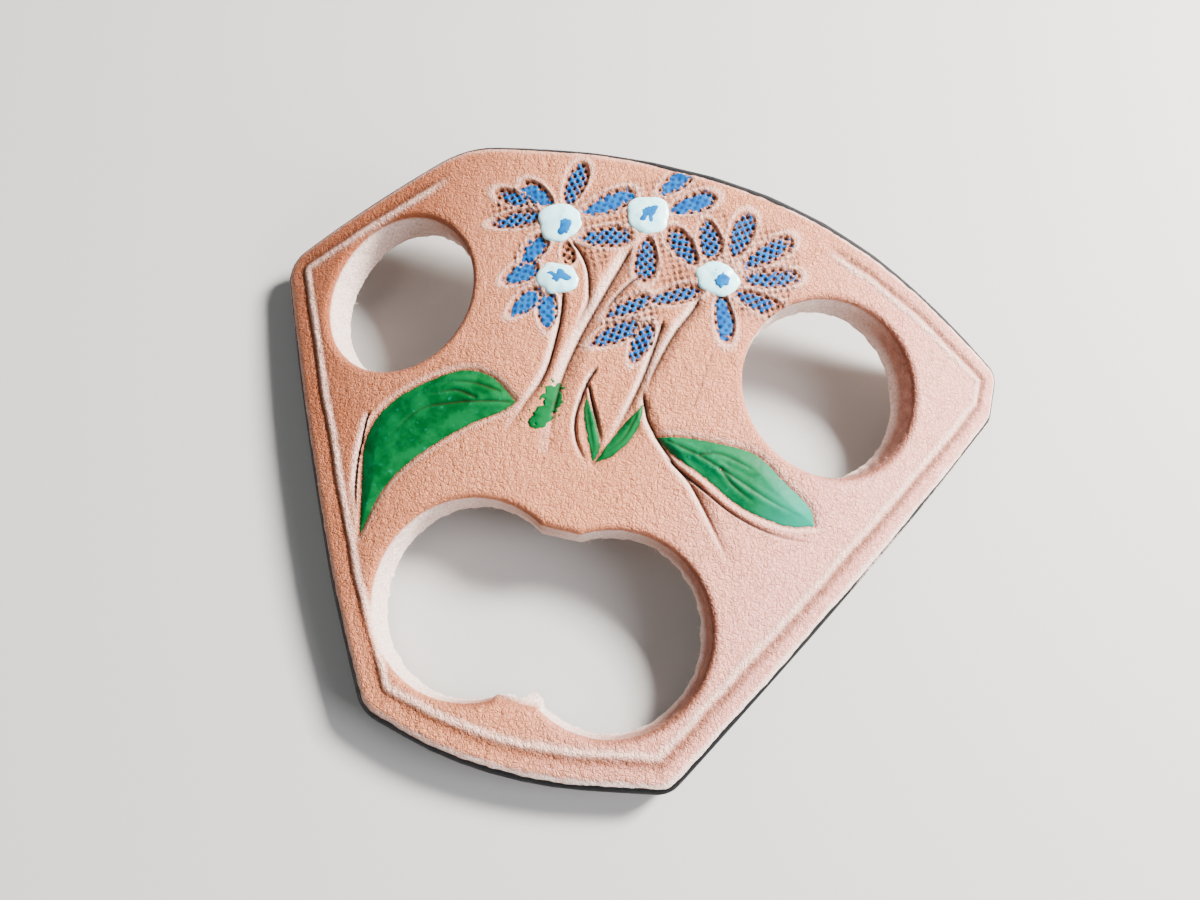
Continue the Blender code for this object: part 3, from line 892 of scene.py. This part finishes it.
def tool(body):
    places = vertexPlaces(body)
    flat, h = places[:, :2].copy(), places[:, 2].copy()
    down = np.clip(-h / arch["thickness"], 0, 1)
    onGrain = h > -0.01
    onFlesh = h < 0.01 - arch["thickness"]
    level, dark, paintedHighlight, grooveShade, pits = relief(flat)
    for loop in leafLoops.values():
        under = np.where(insideLoop(flat, loop), loopGap(flat, loop), 0)
        level -= sheet["sunk"] * smoothStep(0.1, 0.4, under)
    places[:, 2] = np.where(onGrain, level - pits, h)

    # cut walls lean in towards the flesh side and are fuzzy
    gap = holeGap(flat)
    slope = holeSlope(flat)
    wall = 1 - smoothStep(0.02, 0.35, np.abs(gap))
    around = np.column_stack((flat[:, 0] + h * 0.7, flat[:, 1] + h * 0.4))
    shreds = np.maximum(roughness(around, 1.3, 6, 2), 0) * smoothStep(0.75, 1.0, down)
    lean = walls["lean"] * down + walls["shreds"] * shreds
    lean += walls["fluff"] * roughness(around, 0.8, 5, 3) * smoothStep(0.05, 0.2, down)
    flap, flapSize = walls["tear"]
    hang, ragged = walls["tornBy"]
    torn = np.exp(-np.sum(((flat - flap) / flapSize) ** 2, axis=1)) * smoothStep(0.04, 0.15, down)
    lean += torn * (hang + ragged * roughness(around, 0.8, 28, 3))
    places[:, :2] -= slope * (wall * lean)[:, None]
    suede = walls["suede"] * roughness(flat, 1.1, 7, 3)
    nap = suede * smoothStep(0.4, 2.0, edgeDepth(flat)) + np.maximum(suede, 0) * 0.3
    places[:, 2] += np.where(onFlesh, nap, 0)
    moveVertices(body, places)

    # the walls are raw, with painted shade where they turn away from the light
    onWall = wall > 0.5
    cutEdge = 1 - smoothStep(0.95, 1.25, edgeDepth(flat) + 0.12 * roughness(flat, 1.5, 8, 2))
    towardsLight = smoothStep(-10, 25, flat[:, 0] * 0.8 - flat[:, 1] * 0.35 + 10)
    away = smoothStep(-0.3, 0.6, slope @ (0.9, -0.1))
    wallShade = away * smoothStep(1.0, 0.5, down)
    raw = np.maximum(smoothStep(0.3, 0.6, -h) * onWall * (1 - 0.95 * wallShade), onFlesh * 0.85)
    # the cut edge inside the outline is raw, and paler towards the light as a painted highlight
    raw = np.maximum(raw, cutEdge * onGrain * (0.25 + 0.7 * towardsLight))
    # painted shade: a brown line round the lips of the holes, strongest on the side away from the light, and
    # on the walls that turn away from it
    shadeBrown = onGrain * smoothStep(0.75, 0.1, gap) * (0.2 + 0.8 * away)
    shadeBrown += ~onGrain * onWall * away * (0.8 + 0.3 * roughness(around, 0.6, 29))
    # pressed leather darkened with painted shade; painted highlights; brown painted shade
    paintAttribute(body, "pressed", onGrain * dark * 0.95)
    paintAttribute(body, "paintedHighlight", onGrain * paintedHighlight)
    paintAttribute(body, "shadeBrown", np.maximum(shadeBrown, onGrain * grooveShade))
    paintAttribute(body, "raw", np.clip(raw, 0, 1))


toolingLeather = leatherFinish()
leather = buildLeather()
tool(leather)
finishPiece(leather, ["leather_body"], toolingLeather)
print("leather done")

# The dyed edge

coat = {
    "step": 0.35,
    "over": 0.04,  # how far it stands over the bevel
    "wideEnd": 0.35,  # how much further it runs onto the grain side along the wide end
    "wave": (0.12, 0.12),  # how far its border strays in short and in long waves
    "follows": 0.6,  # how far the second place follows the first
    "section": (  # in from the outline, and level: over the bevel, down the side, and back up inside
        (0.62, -0.30), (0.42, -0.42), (0.20, -0.62), (0.05, -1.1), (0.0, -2.0), (0.06, -3.0),
        (0.22, -3.55), (0.5, -3.8), (0.85, -3.7), (0.9, -2.0), (0.9, -0.7),
    ),
}


def coatSections(loop):  # the section at each place of the outline, its first two on the bevel
    following = np.roll(loop, -1, axis=0) - np.roll(loop, 1, axis=0)
    inward = np.column_stack((-following[:, 1], following[:, 0])) / np.hypot(*following.T)[:, None]
    inset, levels = np.tile(np.array(coat["section"]).T[:, None], (1, len(loop), 1))
    short, long = coat["wave"]
    stray = short * roughness(loop, 1.2, 11, 3) + long * roughness(loop, 9.0, 12)
    stray += coat["wideEnd"] * smoothStep(35, 42, loop[:, 1]) * smoothStep(-4, 2, loop[:, 0])
    for index, share in enumerate((1, coat["follows"])):
        inset[:, index] += stray * share
        levels[:, index] = coat["over"] - bevelDrop(inset[:, index])
    flat = loop[:, None] + inward[:, None] * inset[..., None]
    return np.concatenate((flat, levels[..., None]), axis=2)


def buildCoat():
    sections = coatSections(evenLoop(outline, coat["step"]))
    count, across, _ = sections.shape
    startFresh()
    bpy.ops.mesh.primitive_grid_add(x_subdivisions=across, y_subdivisions=count, size=1)
    band = bpy.context.object
    band.name = "dyedEdge"
    cells = np.rint((vertexPlaces(band)[:, :2] + 0.5) * (across, count)).astype(int)
    moveVertices(band, sections[cells[:, 1] % count, cells[:, 0] % across])
    editAll()
    bpy.ops.mesh.remove_doubles(threshold=0.001)  # joins the two ends and the two sides
    closeUp()
    finishPiece(band, ["edge_coat"], edgeFinish(), 50)


buildCoat()
print("edge done")

# The paint

film = {
    "cell": 0.11,
    "lift": 0.035,  # thickness of the paint
    "tuck": 0.16,  # how far its border is turned under
    "sink": 0.22,  # how far its underside lies below the leather's face
    "gap": 0.12,  # how far it drops out of sight in a pit
    "margin": 0.3,  # of the patch round the paint
    "grow": (0.75, 0.6),  # how much longer and wider a petal's paint is than its CAD solid
    "clear": (1.0, 0.75),  # how far it stays from the edge and from the holes
    "ragged": {"petal": 0.45, "leaf": 0.1, "blade": 0.1, "foot": 1.0},
    "solid": (  # petals with thick paint
        "flower_1_petal_2", "flower_1_petal_5", "flower_1_petal_6", "flower_2_petal_1",
        "flower_2_petal_2", "flower_3_petal_1", "flower_3_petal_2", "flower_3_petal_3",
        "flower_4_petal_7",
    ),
}


def onBlank(points, centre, along):  # places about the origin, turned along this and moved to the centre
    return centre + points[:, :1] * along + points[:, 1:2] * np.array((-along[1], along[0]))


def onLeather(cover, flat):  # keeps paint off the edge and the lips of the holes
    fromEdge, fromHoles = film["clear"]
    return np.minimum(cover, np.minimum(edgeDepth(flat) - fromEdge, holeGap(flat) - fromHoles))


def buildFilm(node, centre, along, size, cover, solid, finish, tint):
    patch = gridPatch(node + "_paint", (0, 0), size, film["cell"])
    middles = onBlank(faceCentres(patch), centre, along)
    selectFaces(patch, onLeather(cover(middles), middles) < -film["margin"])
    bpy.ops.mesh.delete(type="FACE")
    bpy.ops.object.mode_set(mode="OBJECT")
    thicken(patch, 1)
    places = vertexPlaces(patch)
    flat = onBlank(places, centre, along)
    level, dark, _, _, pits = relief(flat)
    shown = onLeather(cover(flat), flat)
    top = level + film["lift"] * smoothStep(-0.02, 0.22, shown)
    top -= film["tuck"] * smoothStep(0.06, -0.08, shown) + pits * (0.3 if solid else 1.0)
    if not solid:
        top -= film["gap"] * smoothStep(0.13, 0.18, pits)
    floor = level - film["sink"] - pits
    upper = places[:, 2] > -0.5
    moveVertices(patch, np.column_stack((flat, np.where(upper, top, floor))))
    # paint thinned in the pits, with painted shade, and the tooling's painted shade through the film
    thinPaintAndShade = smoothStep(0.11, 0.2, pits) * (0.6 if solid else 0.95)
    paintAttribute(patch, "tint", tint(flat))
    paintAttribute(patch, "thinPaintAndShade", np.maximum(thinPaintAndShade, dark * 0.8 * (pits == 0)))
    finishPiece(patch, [node], finish)


def ovalCover(centre, along, length, width):
    def cover(flat):
        share, _, _ = ovalShare(flat, centre, along, length, width)
        return 1 - share + film["ragged"]["petal"] * roughness(flat, 0.45, 13, 2)
    return cover


def leafCover(loop, ragged):
    def cover(flat):
        gap = loopGap(flat, loop)
        signed = np.where(insideLoop(flat, loop), gap, -gap)
        return signed + 0.02 + ragged * roughness(flat, 0.6, 14, 2)
    return cover


def noTint(flat):
    return np.zeros(len(flat))


def tipTint(flat):  # the right leaf turns to a lighter sea green towards its outer tip
    return 0.8 * smoothStep(17, 25, flat[:, 0] + 1.2 * roughness(flat, 2.0, 15)) + 0.1


paints = {  # colour, deep, bright, stretch of the strokes, roughness, shine
    "bluePetalPaint": (
        (0.0, 0.115, 0.36, 1), (0.0, 0.07, 0.27, 1), (0.0, 0.17, 0.44, 1), (1, 1, 1), 0.45, 0.02,
    ),
    "greenLeafPaint": (
        (0.0, 0.105, 0.026, 1), (0.0, 0.058, 0.011, 1), (0.0, 0.20, 0.13, 1), (0.4, 0.4, 1), 0.34, 0.05,
    ),
    "whiteDabPaint": (
        (0.48, 0.95, 0.97, 1), (0.28, 0.82, 0.92, 1), (0.88, 1.0, 1.0, 1), (1, 1, 1), 0.18, 0.5,
    ),
    "eyePaint": (
        (0.0, 0.115, 0.34, 1), (0.0, 0.07, 0.27, 1), (0.0, 0.17, 0.40, 1), (1, 1, 1), 0.4, 0.03,
    ),
}
blue, green, white, eyeBlue = (paintFinish(name, *paint) for name, paint in paints.items())

for node in petalNodes:
    centre, along, width, length = ovalOf(node)
    cover = ovalCover(centre, along, length + film["grow"][0], width + film["grow"][1])
    size = (length * 1.3 + 1.2, width * 1.5 + 1.2)
    solid = node in film["solid"]
    buildFilm(node, centre, along, size, cover, solid, blue, noTint)
print("petals done")

for name, loop in leafLoops.items():
    low, high = loop.min(0) - 0.6, loop.max(0) + 0.6
    cover = leafCover(loop, film["ragged"][name.split("_")[-1]])
    tint = tipTint if name == "right_leaf" else noTint
    buildFilm(name, (low + high) / 2, heading(0), high - low, cover, True, green, tint)
print("leaves done")

dabs = {
    "rings": 22,
    "spokes": 48,
    "white": (-0.06, 0.42, 0.25, 0.16),  # level, height, growth and raggedness
    "eye": (0.27, 0.14, 0.22, 0.5),
}


def buildDab(name, node, settings, finish, layer):
    base, height, grow, ragged = settings
    centre, along, width, length = ovalOf(node)
    startFresh()
    bpy.ops.mesh.primitive_uv_sphere_add(segments=dabs["spokes"], ring_count=dabs["rings"], radius=1)
    blob = bpy.context.object
    blob.name = name
    unit = vertexPlaces(blob)
    bearing = unit[:, :2] / np.maximum(np.hypot(unit[:, 0], unit[:, 1]), 1e-6)[:, None]
    swell = 1 + ragged * roughness(bearing * 3, 2.2, layer, 2)
    reach = (length / 2 + grow, width / 2 + grow)
    flat = onBlank(unit[:, :2] * reach * swell[:, None], centre, along)
    dome = np.where(unit[:, 2] > 0, np.abs(unit[:, 2]) ** 0.8, unit[:, 2] * 0.5)
    lumps = 1 + 0.25 * roughness(flat, 1.3, layer + 1, 2)
    moveVertices(blob, np.column_stack((flat, base + height * dome * lumps)))
    paintAttribute(blob, "tint", np.clip(0.4 * roughness(flat, 1.0, layer + 2) + 0.2, 0, 1))
    paintAttribute(blob, "thinPaintAndShade", noTint(flat))
    finishPiece(blob, [node], finish)


for number in range(1, 5):
    flower = f"flower_{number}"
    buildDab(flower + "_whiteDab", flower + "_dab", dabs["white"], white, 20 + number)
    buildDab(flower + "_blueEye", flower + "_eye", dabs["eye"], eyeBlue, 40 + number)
print("dabs done")

# Loose fibres round the holes

fibres = {
    "count": 420,
    "length": (0.25, 0.9),
    "radius": (0.018, 0.045),
    "levels": (-3.95, -3.8, -3.0, -2.0),
    "shares": (0.5, 0.3, 0.1, 0.1),  # of the fibres at each level
    "short": 0.5,  # length of those further up than the lowest two
    "stray": (0.8, 0.25, 0.25),  # sideways, up or down, and in the curl
    "root": 0.15,  # depth in the wall
    "seed": 7,
}


def fibreShape():  # places and faces of a thin four-sided hair of unit size
    startFresh()
    bpy.ops.mesh.primitive_cone_add(vertices=4, radius1=1, radius2=0.15, depth=1, location=(0, 0, 0))
    hair = bpy.context.object
    for level in (-0.1, 0.2):
        editAll()
        bpy.ops.mesh.bisect(plane_co=(0, 0, level), plane_no=(0, 0, 1))
    bpy.ops.object.mode_set(mode="OBJECT")
    unit = vertexPlaces(hair)
    faces = [np.array(face.vertices) for face in hair.data.polygons]
    bpy.data.objects.remove(hair)
    return unit, faces


def unitRow(row):
    return row / np.linalg.norm(row)


def buildFibres():
    rng = np.random.default_rng(fibres["seed"])
    unit, faces = fibreShape()
    t = unit[:, 2] + 0.5
    loops = [roundLoop(leftHole, 0.1), roundLoop(rightHole, 0.1), doubleLoop(0.1)]
    shares = np.array([len(loop) for loop in loops], float)
    sideways, upwards, curling = fibres["stray"]
    places = []
    polygons = []
    for number in range(fibres["count"]):
        loop = loops[rng.choice(len(loops), p=shares / shares.sum())]
        at = rng.integers(len(loop))
        tangent = unitRow(loop[(at + 1) % len(loop)] - loop[at - 1])
        inward = np.array((-tangent[1], tangent[0]))
        level = rng.choice(fibres["levels"], p=fibres["shares"])
        lean = rng.normal(0, sideways)
        course = unitRow(np.array((*(inward + tangent * lean), rng.normal(0.0, upwards))))
        length = rng.uniform(*fibres["length"]) * (1.0 if level < -3.5 else fibres["short"])
        radius = rng.uniform(*fibres["radius"])
        side = unitRow(np.cross(course, (0, 0, 1)))
        other = np.cross(course, side)
        curl = rng.normal(0, curling) * length * t**2
        depth = fibres["root"] - walls["lean"] * -level / arch["thickness"]
        start = np.array((*(loop[at] - inward * depth), level))
        hair = start + (t * length)[:, None] * course + (unit[:, 0] * radius + curl)[:, None] * side
        places.append(hair + (unit[:, 1] * radius)[:, None] * other)
        polygons += [(face + number * len(unit)).tolist() for face in faces]
    mesh = bpy.data.meshes.new("rimFibres")
    mesh.from_pydata(np.vstack(places).tolist(), [], polygons)
    made = bpy.data.objects.new("rimFibres", mesh)
    bpy.context.scene.collection.objects.link(made)
    paintAttribute(made, "raw", np.ones(len(mesh.vertices)))
    finishPiece(made, [], toolingLeather)


buildFibres()
print("fibres done")

# Floor, light and camera

studio = {
    "floorSize": 1.6,
    "floor": (0.44, 0.43, 0.41, 1),
    "key": ((0.30, 0.26, 0.31), 0.12, 16.5, (1.0, 0.97, 0.94)),  # place, size, watts, colour
    "window": ((0.36, -0.04, 0.19), 0.22, 3.0, (0.95, 0.94, 1.0)),
    "fill": ((-0.30, -0.12, 0.30), 0.40, 0.5, (0.93, 0.96, 1.0)),
    "sky": ((0.94, 0.96, 1.0, 1), 0.2),  # colour and strength
}
camera = {
    "lens": 27.0,
    "nearest": 0.005,
    "place": (0.00498, -0.03562, 0.09389),
    "angles": (22.652, -1.978, 13.304),
}


def buildStage():
    startFresh()
    bpy.ops.mesh.primitive_plane_add(size=studio["floorSize"], location=(0, 0, 0))
    floor = bpy.context.object
    floor.name = "floor"
    floor.data.materials.append(Finish("paleFloor").paint(studio["floor"], 0.7))
    for name in ("key", "window", "fill"):
        place, size, watts, colour = studio[name]
        light = bpy.data.lights.new(name, "AREA")
        light.size = size
        light.energy = watts
        light.color = colour
        lamp = bpy.data.objects.new(name, light)
        lamp.location = place
        lamp.visible_glossy = name == "key"
        lamp.rotation_euler = Vector(place).to_track_quat("Z", "Y").to_euler()
        bpy.context.scene.collection.objects.link(lamp)
    sky = bpy.data.worlds.new("sky")
    sky.use_nodes = True
    glow = sky.node_tree.nodes["Background"]
    glow.inputs["Color"].default_value, glow.inputs["Strength"].default_value = studio["sky"]
    bpy.context.scene.world = sky
    lensData = bpy.data.cameras.new("camera")
    lensData.lens = camera["lens"]
    lensData.clip_start = camera["nearest"]
    viewer = bpy.data.objects.new("camera", lensData)
    viewer.location = camera["place"]
    viewer.rotation_euler = Euler([math.radians(a) for a in camera["angles"]])
    bpy.context.scene.collection.objects.link(viewer)
    bpy.context.scene.camera = viewer


buildStage()
